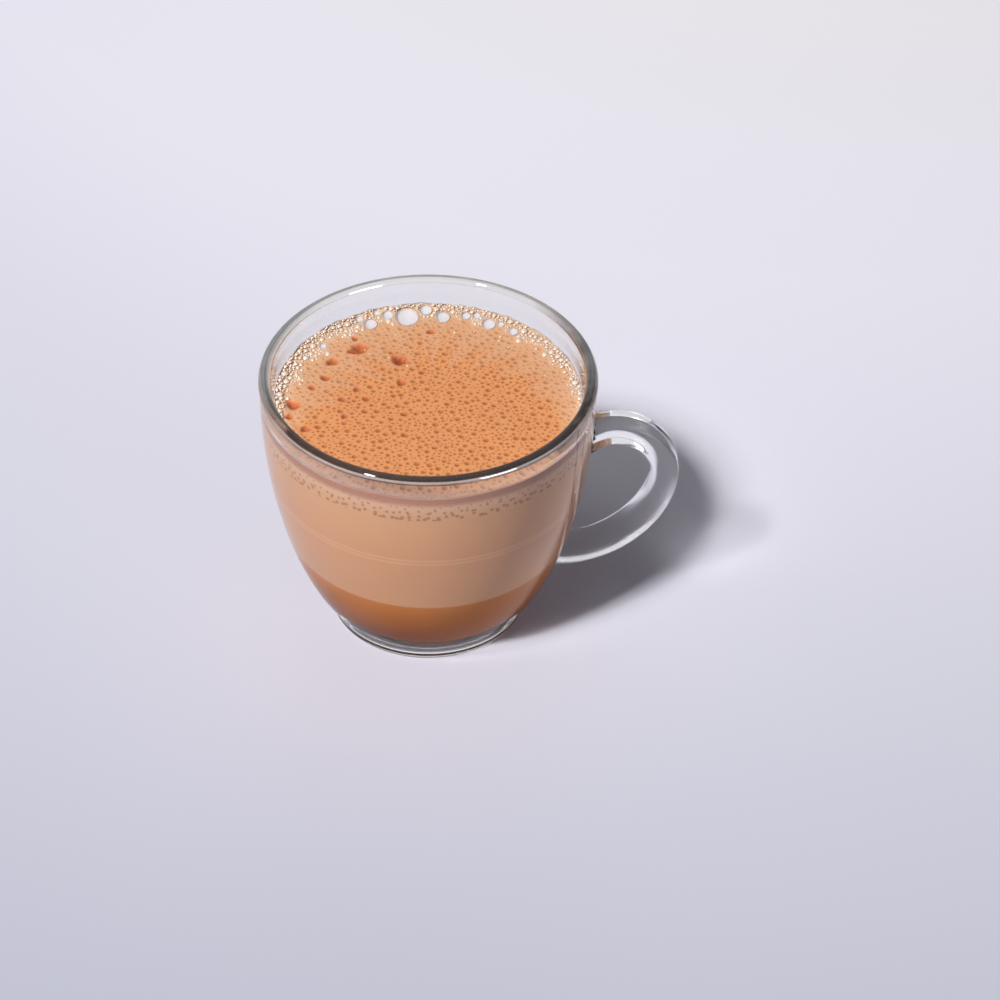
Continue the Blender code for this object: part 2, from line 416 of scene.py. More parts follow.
def mesh_from(name, build):
    """A mesh from a closed bmesh, with its faces turned outwards."""
    bmesh.ops.recalc_face_normals(build, faces=build.faces)
    mesh = bpy.data.meshes.new(name)
    build.to_mesh(mesh)
    build.free()
    return mesh


def linked(name, data):
    """A new object in the scene."""
    obj = bpy.data.objects.new(name, data)
    bpy.context.scene.collection.objects.link(obj)
    return obj


def place(name, mesh, look, replaced=()):
    """A mesh as a piece of the part, riding on its only body."""
    obj = linked(name, mesh)
    mesh.materials.append(look)
    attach(obj, "root")
    if replaced:
        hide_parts(*replaced)
    return obj


def smooth_piece(name, build, look, replaced=()):
    """A piece from a closed bmesh, smooth but for its sharp edges."""
    mesh = mesh_from(name, build)
    mesh.shade_smooth()
    mesh.set_sharp_from_angle(angle=SHARP_ANGLE)
    return place(name, mesh, look, replaced)


def paint(mesh, name, values):
    """Keeps a number at each point, for the material to read."""
    mesh.attributes.new(name, "FLOAT", "POINT").data.foreach_set("value", np.asarray(values, np.float32))


def points_of(mesh):
    return np.array([vert.co for vert in mesh.vertices])


def bridge(build, first, second):
    """Quads between two rings of as many points."""
    for k in range(len(first)):
        n = (k + 1) % len(first)
        build.faces.new((first[k], first[n], second[n], second[k]))


def turned(profile):
    """A closed bmesh from a profile of (radius, height) that starts and ends on the axis."""
    build = bmesh.new()
    turns = [2 * math.pi * i / TURN_STEPS for i in range(TURN_STEPS)]
    rings = []
    for radius, height in profile:
        if radius < ON_AXIS:
            rings.append([build.verts.new((0, 0, height))])
            continue
        rings.append([build.verts.new((radius * math.cos(t), radius * math.sin(t), height)) for t in turns])
    for lower, upper in zip(rings, rings[1:]):
        for i in range(TURN_STEPS):
            j = (i + 1) % TURN_STEPS
            corners = [ring[k % len(ring)] for ring, k in ((lower, i), (lower, j), (upper, j), (upper, i))]
            build.faces.new(dict.fromkeys(corners))
    return build


def joined(obj, operation, other):
    """The object with this Boolean applied to its mesh. The other object is then removed."""
    modifier = obj.modifiers.new(operation.title(), "BOOLEAN")
    modifier.operation = operation
    modifier.solver = "EXACT"
    modifier.object = other
    graph = bpy.context.evaluated_depsgraph_get()
    mesh = bpy.data.meshes.new_from_object(obj.evaluated_get(graph))
    obj.modifiers.clear()
    obj.data = mesh
    bpy.data.objects.remove(other)
    return obj


# Nodes

def node(tree, kind, **settings):
    made = tree.nodes.new(kind)
    for key, value in settings.items():
        setattr(made, key, value)
    return made


def link(tree, source, target):
    tree.links.new(source, target)


def feed(tree, value, socket):
    """Gives a socket its value: another socket, a number or a colour."""
    if isinstance(value, bpy.types.NodeSocket):
        link(tree, value, socket)
    elif isinstance(value, float):
        socket.default_value = value
    else:
        socket.default_value = (*value, 1)


def painted(tree, name):
    """The number that paint kept on the mesh under this name."""
    return node(tree, "ShaderNodeAttribute", attribute_name=name).outputs["Fac"]


def maths(tree, operation, *values):
    """The result of a sum with sockets and numbers."""
    made = node(tree, "ShaderNodeMath", operation=operation)
    for value, socket in zip(values, made.inputs):
        feed(tree, value, socket)
    return made.outputs[0]


def noise(tree, where, scale, detail=2.0):
    """Soft random blotches, this many to the metre."""
    made = node(tree, "ShaderNodeTexNoise")
    made.inputs["Scale"].default_value = scale
    made.inputs["Detail"].default_value = detail
    link(tree, where, made.inputs["Vector"])
    return made.outputs["Fac"]


def cells(tree, where, scale, **settings):
    """The distance from the middle or the edge of irregular cells, this many to the metre."""
    made = node(tree, "ShaderNodeTexVoronoi", **settings)
    made.inputs["Scale"].default_value = scale
    link(tree, where, made.inputs["Vector"])
    return made.outputs["Distance"]


def ramp(tree, stops, source):
    """A colour ramp from (position, colour) stops, driven by a number."""
    made = node(tree, "ShaderNodeValToRGB")
    elements = made.color_ramp.elements
    while len(elements) < len(stops):
        elements.new(0.5)
    for element, (position, colour) in zip(elements, stops):
        element.position = position
        element.color = (*colour, 1)
    link(tree, source, made.inputs["Fac"])
    return made.outputs["Color"]


def span(tree, source, low, high, to_low=0.0, to_high=1.0):
    """A number carried over from one range to another, and held within it."""
    made = node(tree, "ShaderNodeMapRange")
    for key, value in (("From Min", low), ("From Max", high), ("To Min", to_low), ("To Max", to_high)):
        made.inputs[key].default_value = value
    link(tree, source, made.inputs["Value"])
    return made.outputs["Result"]


def blend(tree, share, first, second):
    """Two colours, each a socket or a constant, mixed by a share of the second."""
    made = node(tree, "ShaderNodeMix", data_type="RGBA")
    for value, socket in ((share, made.inputs["Factor"]), (first, made.inputs[6]), (second, made.inputs[7])):
        feed(tree, value, socket)
    return made.outputs[2]


def object_axes(tree):
    """The object coordinates as a vector, and its X, Y and Z."""
    where = node(tree, "ShaderNodeTexCoord").outputs["Object"]
    parts = node(tree, "ShaderNodeSeparateXYZ")
    link(tree, where, parts.inputs[0])
    return where, *parts.outputs


# Materials

def new_material(name, roughness, specular=0.5):
    """A material, its nodes and its Principled shader."""
    made = bpy.data.materials.new(name)
    made.use_nodes = True
    tree = made.node_tree
    shader = tree.nodes["Principled BSDF"]
    shader.inputs["Roughness"].default_value = roughness
    shader.inputs["Specular IOR Level"].default_value = specular
    return made, tree, shader


def glass_material(name, colour, shadow, specular=0.5):
    """Clear glass, which lamps' light passes through."""
    made, tree, shader = new_material(name, roughness=0.0, specular=specular)
    feed(tree, colour, shader.inputs["Base Color"])
    shader.inputs["IOR"].default_value = GLASS_IOR
    shader.inputs["Transmission Weight"].default_value = 1.0
    clear = node(tree, "ShaderNodeBsdfTransparent")
    feed(tree, shadow, clear.inputs["Color"])
    mix = node(tree, "ShaderNodeMixShader")
    link(tree, node(tree, "ShaderNodeLightPath").outputs["Is Shadow Ray"], mix.inputs["Fac"])
    link(tree, shader.outputs["BSDF"], mix.inputs[1])
    link(tree, clear.outputs["BSDF"], mix.inputs[2])
    link(tree, mix.outputs["Shader"], tree.nodes["Material Output"].inputs["Surface"])
    return made, tree, shader


def body_material():
    """The wall and handle: painted shade on the near wall above the froth, the handle's mirror and a low wall
    that reflects less.
    """
    made, tree, shader = glass_material("cup_body_glass", CLEAR_GLASS, BODY_SHADOW)
    height = object_axes(tree)[3]
    top = WALL_IOR[-1][0]
    stops = [(level / top, (bending,) * 3) for level, bending in WALL_IOR]
    link(tree, ramp(tree, stops, span(tree, height, 0.0, top)), shader.inputs["IOR"])
    colour = blend(tree, painted(tree, "wall_painted_shade"), CLEAR_GLASS, WALL_SHADE_TINT)
    link(tree, colour, shader.inputs["Base Color"])
    link(tree, painted(tree, "handle_mirror"), shader.inputs["Metallic"])
    return made


def rim_material():
    """The rounded rim: painted lines round it, some a mirror of their surroundings, some painted shade that
    darkens what shows through.
    """
    made, tree, shader = glass_material("rim_glass", (1, 1, 1), RIM_SHADOW, RIM_SPECULAR)
    blotches = noise(tree, object_axes(tree)[0], RIM_STREAK_SCALE)
    streaks = span(tree, blotches, *NOISE_SPAN, *RIM_STREAKS)
    # Painted shade, uneven in streaks, darkens the rim's glass colour
    shade = maths(tree, "MULTIPLY", painted(tree, "rim_painted_shade"), streaks)
    link(tree, ramp(tree, RIM_SHADE_TINTS, shade), shader.inputs["Base Color"])
    link(tree, painted(tree, "rim_mirror"), shader.inputs["Metallic"])
    return made


def chai_material():
    """Opaque milk tea: deep brown below and darker towards the foot, which is painted shade for a darker
    reflection on the glass, tan above, and two faint pale lines round it, which are painted reflections.
    """
    made, tree, shader = new_material("milk_tea", roughness=0.6, specular=0.0)
    where, _, _, height = object_axes(tree)
    edge = REFLECTION_LINE_HALF_WIDTH / CUP_HEIGHT
    deep = SHADED_BAND_TOP / CUP_HEIGHT
    # Painted shade in the band below, painted reflection in the pale lines
    stops = [(DEEP_FOOT_SHARE, SHADED_BAND_FOOT), (deep - edge, SHADED_BAND_UPPER), (deep + edge, CHAI_TAN)]
    for line in REFLECTION_LINE_HEIGHTS:
        middle = line / CUP_HEIGHT
        stops += [(middle - edge, CHAI_TAN), (middle, CHAI_REFLECTION_LINE), (middle + edge, CHAI_TAN)]
    stops.append((FROTH_BOTTOM / CUP_HEIGHT, CHAI_TOP))
    colour = ramp(tree, stops, span(tree, height, 0.0, CUP_HEIGHT))
    blotches = noise(tree, where, CHAI_CLOUD_SCALE, CHAI_CLOUD_DETAIL)
    clouds = span(tree, blotches, *NOISE_SPAN, 0.0, CHAI_CLOUD_SHARE)
    link(tree, blend(tree, clouds, colour, CHAI_CLOUD), shader.inputs["Base Color"])
    return made


def froth_material():
    """Orange froth: hollows are redder and darker, the pits with painted shade on their lamp side, painted
    shade at the front edge, the edge paler, and the side beige with small dots.
    """
    made, tree, shader = new_material("milk_froth", roughness=0.4, specular=0.2)
    where, across, deep, height = object_axes(tree)
    clear = painted(tree, "clear")
    shade = painted(tree, "shade")
    top = froth_top_colour(tree, where, clear, shade)
    side = froth_side_colour(tree, (across, deep, height), clear, shade)
    link(tree, blend(tree, painted(tree, "side"), top, side), shader.inputs["Base Color"])
    return made


def froth_top_colour(tree, where, clear, shade):
    tone = painted(tree, "tone")
    colour = blend(tree, painted(tree, "red"), ramp(tree, FROTH_TONES, tone), ramp(tree, PIT_TONES, tone))
    to_edge = cells(tree, where, FINE_SCALE, feature="DISTANCE_TO_EDGE")
    colour = blend(tree, span(tree, to_edge, 0.0, FINE_WIDTH, FINE_SHARE, 0.0), colour, FINE_FROTH)
    colour = blend(tree, span(tree, painted(tree, "pale"), 0.0, 1.0, 0.0, PALE_SHARE), colour, PALE_FROTH)
    colour = blend(tree, clear, colour, CLEAR_BUBBLE)
    return blend(tree, span(tree, shade, 0.0, 1.0, 0.0, TOP_SHADE_SHARE), colour, FROTH_SHADE)


def froth_side_colour(tree, axes, clear, shade):
    """Beige, with small dark bubbles that shrink upwards, and shaded below its top edge."""
    across, deep, height = axes
    turn = maths(tree, "ARCTAN2", across, maths(tree, "MULTIPLY", deep, -1.0))
    unrolled = node(tree, "ShaderNodeCombineXYZ")
    link(tree, maths(tree, "MULTIPLY", turn, DISC_RADIUS), unrolled.inputs["X"])
    link(tree, height, unrolled.inputs["Y"])
    to_middle = cells(tree, unrolled.outputs[0], DOT_SCALE, feature="F1", voronoi_dimensions="2D")
    lowest, highest = (FROTH_BOTTOM + above for above in DOT_HEIGHTS)
    inside = maths(tree, "SUBTRACT", span(tree, height, lowest, highest, *DOT_SIZES), to_middle)
    colour = ramp(tree, SIDE_TONES, span(tree, height, FROTH_BOTTOM, FROTH_LEVEL))
    colour = blend(tree, span(tree, inside, 0.0, DOT_EDGE, 0.0, DOT_SHARE), colour, DOT_COLOUR)
    lowest, highest = (FROTH_LEVEL - below for below in SIDE_SHADE_DEPTHS)
    upper = span(tree, height, lowest, highest, 0.0, SIDE_SHADE_SHARE)
    colour = blend(tree, maths(tree, "MULTIPLY", upper, shade), colour, FROTH_SHADE)
    return blend(tree, clear, colour, CLEAR_BUBBLE)


def skin_material():
    """The clear skin over a large bubble: little more than its gloss."""
    made, tree, shader = new_material("bubble_skin", roughness=0.04, specular=0.8)
    feed(tree, SKIN_COLOUR, shader.inputs["Base Color"])
    shader.inputs["Alpha"].default_value = SKIN_ALPHA
    return made


def bead_material():
    """Fine moist bubbles: a thin darker outline of painted shade round a pale middle."""
    made, tree, shader = new_material("fine_bubbles", roughness=0.14, specular=0.32)
    blotches = noise(tree, object_axes(tree)[0], BEAD_PATCH_SCALE)
    patches = span(tree, blotches, *BEAD_NOISE_SPAN, 0.0, BEAD_PATCH_SHARE)
    colour = ramp(tree, BEAD_TONES, painted(tree, "rise"))
    link(tree, blend(tree, patches, colour, BEAD_PATCH), shader.inputs["Base Color"])
    return made


def glint_material():
    """Tiny wet beads beside the pits."""
    made, tree, shader = new_material("glint_beads", roughness=0.05, specular=1.0)
    feed(tree, GLINT_COLOUR, shader.inputs["Base Color"])
    return made


def film_material():
    """The grey edge of the film on the wall, and of the large bubbles."""
    made, tree, shader = new_material("film_edge", roughness=0.2)
    blotches = noise(tree, object_axes(tree)[0], FILM_SCALE)
    link(tree, ramp(tree, FILM_TONES, blotches), shader.inputs["Base Color"])
    return made


# Cup

def glass_profile():
    """The cup's section, from the middle of its underside, over the rim, to the middle of its floor."""
    centre = FOOT_RADIUS - FOOT_ROUNDING
    foot_turns = np.radians(np.linspace(-90, 0, FOOT_STEPS + 1))
    foot = np.c_[centre + FOOT_ROUNDING * np.cos(foot_turns), FOOT_ROUNDING * (1 + np.sin(foot_turns))]
    outer = cubic(OUTER_WALL, np.linspace(0, 1, WALL_STEPS + 1))
    half = RIM_THICKNESS / 2
    rim_turns = np.linspace(0, math.pi, RIM_STEPS + 1)
    rim = np.c_[RIM_MIDDLE_RADIUS + half * np.cos(rim_turns), RIM_MIDDLE_HEIGHT + half * np.sin(rim_turns)]
    inner = cubic(INNER_WALL, np.linspace(1, 0, WALL_STEPS + 1))
    shares = np.linspace(FLAT_FLOOR_SHARE, 0, FLOOR_STEPS + 1)
    floor = np.c_[FLOOR_RADIUS * shares, FLOOR_HEIGHT + FLOOR_DOME * (1 - shares**2)]
    return np.vstack([[(0, 0)], foot, outer, rim, inner, floor])


def wall_core_profile():
    """The space inside the wall, which the handle's ends are cut back to."""
    inner = cubic(INNER_WALL, np.linspace(0, 1, WALL_STEPS + 1))
    inner[:, 0] += ROOT_DEPTH_IN_WALL
    return np.vstack([[(0, FLOOR_HEIGHT)], inner, [(0, INNER_WALL[-1][1])]])


def handle_line():
    """Points along the middle of the handle as (x, z), and the handle's direction at each."""
    shares = np.linspace(0, 1, HANDLE_STEPS + 1)
    middle = np.vstack([cubic(HANDLE_TOP, shares), cubic(HANDLE_BOTTOM, shares[1:])])
    along = np.gradient(middle, axis=0)
    return middle, along / np.linalg.norm(along, axis=1)[:, None]


def squared(values):
    """Sines or cosines bent so that a circle made of them turns into a square with round corners."""
    return np.copysign(np.abs(values) ** (2 / HANDLE_SQUARENESS), values)


def handle_build():
    """The handle: a squarish section swept along its line, and flared towards its roots."""
    middle, along = handle_line()
    last = len(middle) - 1
    turns = np.linspace(0, 2 * math.pi, HANDLE_SIDES, endpoint=False)
    section = list(zip(squared(np.cos(turns)), squared(np.sin(turns))))
    build = bmesh.new()
    rings = []
    for i, (x, z) in enumerate(middle):
        near_root = max(0.0, 1 - min(i, last - i) / (last * ROOT_LENGTH))
        flare = ROOT_FLARE * near_root**ROOT_FLARE_FALL
        depth = HANDLE_HALF_DEPTH * (1 + flare)
        width = HANDLE_HALF_WIDTH * (1 + flare * ROOT_FLARE_ACROSS)
        inward_x, inward_z = along[i][1] * depth, -along[i][0] * depth
        rings.append([build.verts.new((x + inward_x * o, a * width, z + inward_z * o)) for a, o in section])
    for first, second in zip(rings, rings[1:]):
        bridge(build, first, second)
    build.faces.new(rings[0])
    build.faces.new(rings[-1])
    return build


def build_cup():
    """The cup and its handle as one mesh, with the rim's upper half in a material of its own."""
    loop = linked("handle_loop", mesh_from("handle_loop", handle_build()))
    core = linked("wall_core", mesh_from("wall_core", turned(wall_core_profile())))
    shell = linked("shell", mesh_from("shell", turned(glass_profile())))
    mesh = joined(shell, "UNION", joined(loop, "DIFFERENCE", core)).data
    mesh.name = "cup_glass"
    bpy.data.objects.remove(shell)
    mesh.shade_smooth()
    mesh.materials.clear()
    place("cup_glass", mesh, body_material(), ("glass_cup",))
    mesh.materials.append(rim_material())
    for face in mesh.polygons:
        face.material_index = int(face.center.z > RIM_MIDDLE_HEIGHT)
    paint_rim(mesh)
    paint_handle(mesh)


def paint_rim(mesh):
    """Paints the rim's lines of painted shade and mirror, which differ at the sides, front and back, and the
    painted shade on the near wall above the froth.
    """
    x, y, z = points_of(mesh).T
    away = np.hypot(x, y)
    turn = np.degrees(np.arctan2(np.maximum(0.0, z - RIM_MIDDLE_HEIGHT), away - RIM_MIDDLE_RADIUS))
    back = y / np.maximum(away, ON_AXIS)
    front_share = ramped(-back, *FRONT_RIM_SPAN)
    back_share = ramped(back, *BACK_RIM_SPAN)
    side_share = 1 - front_share - back_share
    lines = (
        (side_share * (x > 0), RIM_RIGHT, MIRROR_RIGHT),
        (side_share * (x <= 0), RIM_LEFT, MIRROR_LEFT),
        (front_share, RIM_FRONT, MIRROR_FRONT),
        (back_share, RIM_BACK, MIRROR_BACK),
    )
    # Painted shade and painted mirror of the rim's lines
    paint(mesh, "rim_painted_shade", sum(share * np.interp(turn, *zip(*tint)) for share, tint, _ in lines))
    paint(mesh, "rim_mirror", sum(share * np.interp(turn, *zip(*mirror)) for share, _, mirror in lines))
    # Painted shade on the near wall's inside above the froth, at the front
    inside = away < (RIM_RADIUS + DISC_RADIUS) / 2
    above = ramped(z, *WALL_SHADE_SPAN)
    leftness = 1 - WALL_SHADE_FADE * ramped(x, *WALL_SHADE_FADE_SPAN)
    paint(mesh, "wall_painted_shade", inside * above * leftness * np.minimum(1.0, front_share * WALL_SHADE_GAIN))


def paint_handle(mesh):
    """Paints the handle's lower outer edge, which mirrors the floor in front of it."""
    middle, along = handle_line()
    outward = np.c_[-along[:, 1], along[:, 0]]
    places = points_of(mesh)
    x, y, z = places.T
    beyond_wall = np.hypot(x, y) > radius_at(OUTER_WALL, z) + CLEAR_OF_WALL
    in_front = (y < 0) & (y > -HANDLE_MIRROR_WIDTH)
    chosen = np.flatnonzero((x > 0) & in_front & (z < HANDLE_MIRROR_TOP) & beyond_wall)
    flat = places[chosen][:, [0, 2]]
    nearest = np.argmin(((flat[:, None, :] - middle[None, :, :]) ** 2).sum(2), axis=1)
    out = ((flat - middle[nearest]) * outward[nearest]).sum(1) / HANDLE_HALF_DEPTH
    below = ramped(-outward[nearest, 1], *HANDLE_BELOW_SPAN)
    mirror = np.zeros(len(places))
    mirror[chosen] = HANDLE_MIRROR * ramped(out, *HANDLE_MIRROR_SPAN) * below
    paint(mesh, "handle_mirror", mirror)


# Drink

def build_chai():
    heights = np.linspace(FLOOR_HEIGHT + FLOOR_DOME, FROTH_BOTTOM, TEA_STEPS + 1)
    side = np.c_[radius_at(INNER_WALL, heights) + INTO_WALL, heights]
    profile = np.vstack([[(0, heights[0])], side, [(0, heights[-1])]])
    smooth_piece("tea", turned(profile), chai_material(), ("chai",))


def scattered(draw, radii, allowed, taken, gap):
    """Circles of these radii at free places that are allowed. Each one is also added to taken."""
    grid = {}
    for circle in taken:
        grid.setdefault((round(circle[0] / GRID_CELL), round(circle[1] / GRID_CELL)), []).append(circle)
    steps = range(-GRID_REACH, GRID_REACH + 1)
    placed = []
    for radius in radii:
        for _ in range(TRIES):
            turn = draw.uniform(0, 2 * math.pi)
            away = DISC_RADIUS * math.sqrt(draw.random())
            x, y = away * math.cos(turn), away * math.sin(turn)
            if not allowed(x, y, radius):
                continue
            i, j = round(x / GRID_CELL), round(y / GRID_CELL)
            near = [c for a in steps for b in steps for c in grid.get((i + a, j + b), ())]
            if any((x - c[0]) ** 2 + (y - c[1]) ** 2 < (c[2] + radius + gap) ** 2 for c in near):
                continue
            grid.setdefault((i, j), []).append((x, y, radius))
            placed.append((x, y, radius))
            break
    taken.extend(placed)
    return placed


def ring_depth(x, y):
    """How far the zone of clear bubbles reaches in from the wall, which is most at the back."""
    angle = math.degrees(math.atan2(y, x))
    depth = float(np.interp(angle, RING_ANGLES, RING_DEPTHS))
    return depth * (1 + waves(angle, RING_WAVES))


def froth_circles():
    """The edge bubbles and the dimples as (x, y, radius), none of them over a pit or a large bubble."""
    draw = random.Random(SEED)
    taken = [(x, y, BUBBLE_SPACE * radius) for x, y, radius in BIG_BUBBLES] + list(PITS)

    def in_ring(x, y, radius):
        away = DISC_RADIUS - math.hypot(x, y)
        reach = ring_depth(x, y)
        return radius < away < reach and draw.random() < RING_FILL - away / reach

    def in_froth(x, y, radius):
        away = DISC_RADIUS - math.hypot(x, y)
        return away > max(DIMPLE_FROM_WALL, DIMPLE_RING_SHARE * ring_depth(x, y)) + radius

    sizes = [draw.uniform(least, most) for count, least, most in EDGE_BUBBLES for _ in range(count)]
    beads = scattered(draw, sizes, in_ring, taken, EDGE_BUBBLE_GAP)
    sizes = [DIMPLE_LEAST + DIMPLE_SPREAD * draw.random() ** DIMPLE_POWER for _ in range(DIMPLE_COUNT)]
    sizes.sort(reverse=True)
    count, least, most = SMALL_DIMPLES
    sizes += [draw.uniform(least, most) for _ in range(count)]
    return beads, scattered(draw, sizes, in_froth, taken, DIMPLE_GAP)


def disc_points():
    """The froth's top as flat rings of points round its middle, each with six more than the last."""
    points = [(0.0, 0.0)]
    for ring in range(1, FROTH_RINGS + 1):
        turns = np.arange(6 * ring) * (2 * math.pi / (6 * ring))
        away = FROTH_EDGE * ring / FROTH_RINGS
        points.extend(zip(away * np.cos(turns), away * np.sin(turns)))
    return np.array(points)


def sink_dimples(tree, dimples, heights, tone):
    """Presses the dimples into the froth, each dark inside with a lighter ring round it."""
    for x, y, radius in dimples:
        for _, i, distance in tree.find_range((x, y, 0), SINK_REACH * radius):
            share = distance / radius
            heights[i] -= SINK_DEPTH * radius * max(0.0, 1 - share**2)
            tone[i] += LIGHT_RING * math.exp(-(((share - LIGHT_RING_AT) / LIGHT_RING_WIDTH) ** 2))
            tone[i] = min(tone[i], FLAT_TONE * ramped(share, *DIMPLE_SPAN))


def sink_pits(tree, flat, heights, tone, red):
    """Presses the uneven pits into the froth: red inside, with painted shade on the side towards the key
    lamp, whose wall is turned from it.
    """
    for number, (middle_x, middle_y, radius) in enumerate(PITS):
        for _, i, distance in tree.find_range((middle_x, middle_y, 0), SINK_REACH * radius):
            out_x, out_y = flat[i] - (middle_x, middle_y)
            outline = 1 + waves(math.atan2(out_y, out_x), PIT_WAVES, number * PIT_SEED_STEP)
            share = distance / radius / outline
            heights[i] -= SINK_DEPTH * radius * max(0.0, 1 - share**2) ** PIT_POWER
            red[i] = max(red[i], 1 - ramped(share, *PIT_SPAN))
            # Painted shade on the pit's wall on the lamp side
            towards_lamp = (LAMP_WAY[0] * out_x + LAMP_WAY[1] * out_y) / radius
            tone[i] = min(tone[i], FLAT_TONE - red[i] * (PIT_TONE_FALL + PIT_LAMP_FALL * towards_lamp))


def sink_bubbles(flat, heights, clear):
    """Presses the hollow of each large bubble into the froth, painted but for its edge with the light seen
    through a clear bubble.
    """
    for x, y, radius in BIG_BUBBLES:
        share = np.hypot((flat[:, 0] - x) / radius, (flat[:, 1] - y) / (BUBBLE_STRETCH * radius))
        inside = share < 1
        heights[inside] = FROTH_LEVEL - HOLLOW_DEPTH * radius * np.sqrt(1 - share[inside] ** 2)
        clear[inside] = 1 - ramped(share[inside], *HOLLOW_SPAN)


def edge_marks(flat, red):
    """How pale the froth is towards the wall, and how shaded its edge is at the front."""
    away = np.hypot(flat[:, 0], flat[:, 1])
    depth = np.array([ring_depth(x, y) for x, y in flat])
    start, width, reach = (share * depth + more for share, more in (PALE_START, PALE_WIDTH, WIDE_PALE_REACH))
    near = ramped(away, FROTH_EDGE - start, width)
    wide = ramped(away, FROTH_EDGE - reach, reach)
    pale = np.maximum(near, WIDE_PALE_SHARE * wide**WIDE_PALE_POWER) * (1 - red)
    front = ramped(-np.sin(np.arctan2(flat[:, 1], flat[:, 0])), *FRONT_FROTH_SPAN)
    return pale, front * ramped(away, *EDGE_SHADE_SPAN)


def froth_top(dimples):
    """The points of the froth's top, and the numbers that its material reads there."""
    flat = disc_points()
    tree = kdtree.KDTree(len(flat))
    for i, (x, y) in enumerate(flat):
        tree.insert((x, y, 0), i)
    tree.balance()
    across, deep = flat.T
    heights = FROTH_LEVEL + SWELL * np.sin(across * SWELL_ACROSS + SWELL_SHIFT) * np.cos(deep * SWELL_DEEP)
    heights += MENISCUS * ramped(np.hypot(across, deep), *MENISCUS_SPAN) ** 2
    tone = np.full(len(flat), FLAT_TONE)
    red = np.zeros(len(flat))
    clear = np.zeros(len(flat))
    sink_dimples(tree, dimples, heights, tone)
    sink_pits(tree, flat, heights, tone, red)
    sink_bubbles(flat, heights, clear)
    pale, shade = edge_marks(flat, red)
    return np.c_[flat, heights], {"tone": tone, "red": red, "pale": pale, "clear": clear, "shade": shade}


def build_froth(dimples):
    """The froth: a dimpled top, a side against the wall and a flat underside."""
    top, marks = froth_top(dimples)
    edge_count = 6 * FROTH_RINGS
    turns = np.arange(edge_count) * (2 * math.pi / edge_count)
    edge_heights = top[-edge_count:, 2]
    rows = [top]
    for row in range(1, SIDE_RINGS + 1):
        row_heights = edge_heights + (FROTH_BOTTOM - edge_heights) * row / SIDE_RINGS
        radii = radius_at(INNER_WALL, row_heights) + INTO_WALL
        rows.append(np.c_[radii * np.cos(turns), radii * np.sin(turns), row_heights])
    mesh = bpy.data.meshes.new("foam")
    mesh.from_pydata(np.vstack(rows).tolist(), [], disc_faces(len(top), edge_count))
    for name, values in marks.items():
        seen_on_side = values[-edge_count:] if name in ("clear", "shade") else np.zeros(edge_count)
        paint(mesh, name, np.concatenate([values, np.tile(seen_on_side, SIDE_RINGS)]))
    paint(mesh, "side", np.repeat((0.0, 1.0), (len(top), edge_count * SIDE_RINGS)))
    mesh.shade_smooth()
    mesh.set_sharp_from_angle(angle=FROTH_SHARP_ANGLE)
    place("foam", mesh, froth_material(), ("froth",))


def disc_faces(top_count, edge_count):
    """Faces of the froth: rings of triangles on top, then a side of quads, then a bottom."""
    def first(ring):
        return 0 if ring == 0 else 1 + 3 * ring * (ring - 1)

    faces = []
    for ring in range(1, FROTH_RINGS + 1):
        outer, inner = first(ring), first(ring - 1)
        outer_count, inner_count = 6 * ring, max(1, 6 * (ring - 1))
        for sector in range(6):
            for i in range(ring):
                a = outer + (sector * ring + i) % outer_count
                b = outer + (sector * ring + i + 1) % outer_count
                c = inner + (sector * (ring - 1) + i) % inner_count
                faces.append((a, b, c))
                if i < ring - 1:
                    d = inner + (sector * (ring - 1) + i + 1) % inner_count
                    faces.append((c, b, d))
    above, below = first(FROTH_RINGS), top_count
    for _ in range(SIDE_RINGS):
        for i in range(edge_count):
            j = (i + 1) % edge_count
            faces.append((above + i, below + i, below + j, above + j))
        above = below
        below += edge_count
    faces.append(tuple(above + i for i in range(edge_count)))
    return faces


# Bubbles and film

def add_cap(verts, faces, rises, centre, radius, rise, rings, sides, stretch):
    """A shallow bubble cap, with each point's share of the rise."""
    base = len(verts)
    x, y, z = centre
    turns = [2 * math.pi * k / sides for k in range(sides)]
    for i in range(rings):
        share = 1 - i / rings
        up = 1 - share**2
        wide, deep = share * radius, stretch * share * radius
        rises.extend([up] * sides)
        verts.extend((x + wide * math.cos(t), y + deep * math.sin(t), z + rise * up) for t in turns)
    verts.append((x, y, z + rise))
    rises.append(1.0)
    top = len(verts) - 1
    for i in range(rings):
        for k in range(sides):
            n = (k + 1) % sides
            low, high = base + i * sides, base + (i + 1) * sides
            if i == rings - 1:
                faces.append((low + k, low + n, top))
            else:
                faces.append((low + k, low + n, high + n, high + k))


def build_caps(name, circles, look, rise, rings, sides, climb=0.0, stretch=1.0):
    """One piece of many bubble caps, which climb a little towards the wall."""
    verts, faces, rises = [], [], []
    for x, y, radius in circles:
        from_wall = DISC_RADIUS - math.hypot(x, y)
        level = FROTH_LEVEL + climb * max(0.0, 1 - from_wall / CAP_CLIMB_REACH)
        add_cap(verts, faces, rises, (x, y, level), radius, rise * radius, rings, sides, stretch)
    mesh = bpy.data.meshes.new(name)
    mesh.from_pydata(verts, [], faces)
    paint(mesh, "rise", rises)
    mesh.shade_smooth()
    place(name, mesh, look)


def build_glints():
    """Tiny bright beads beside some pits and in the edge foam."""
    draw = random.Random(SEED + 3)
    circles = [(x, y, draw.uniform(*GLINT_RADII)) for x, y in GLINTS]
    build_caps("glints", circles, glint_material(), rise=0.9, rings=5, sides=14)


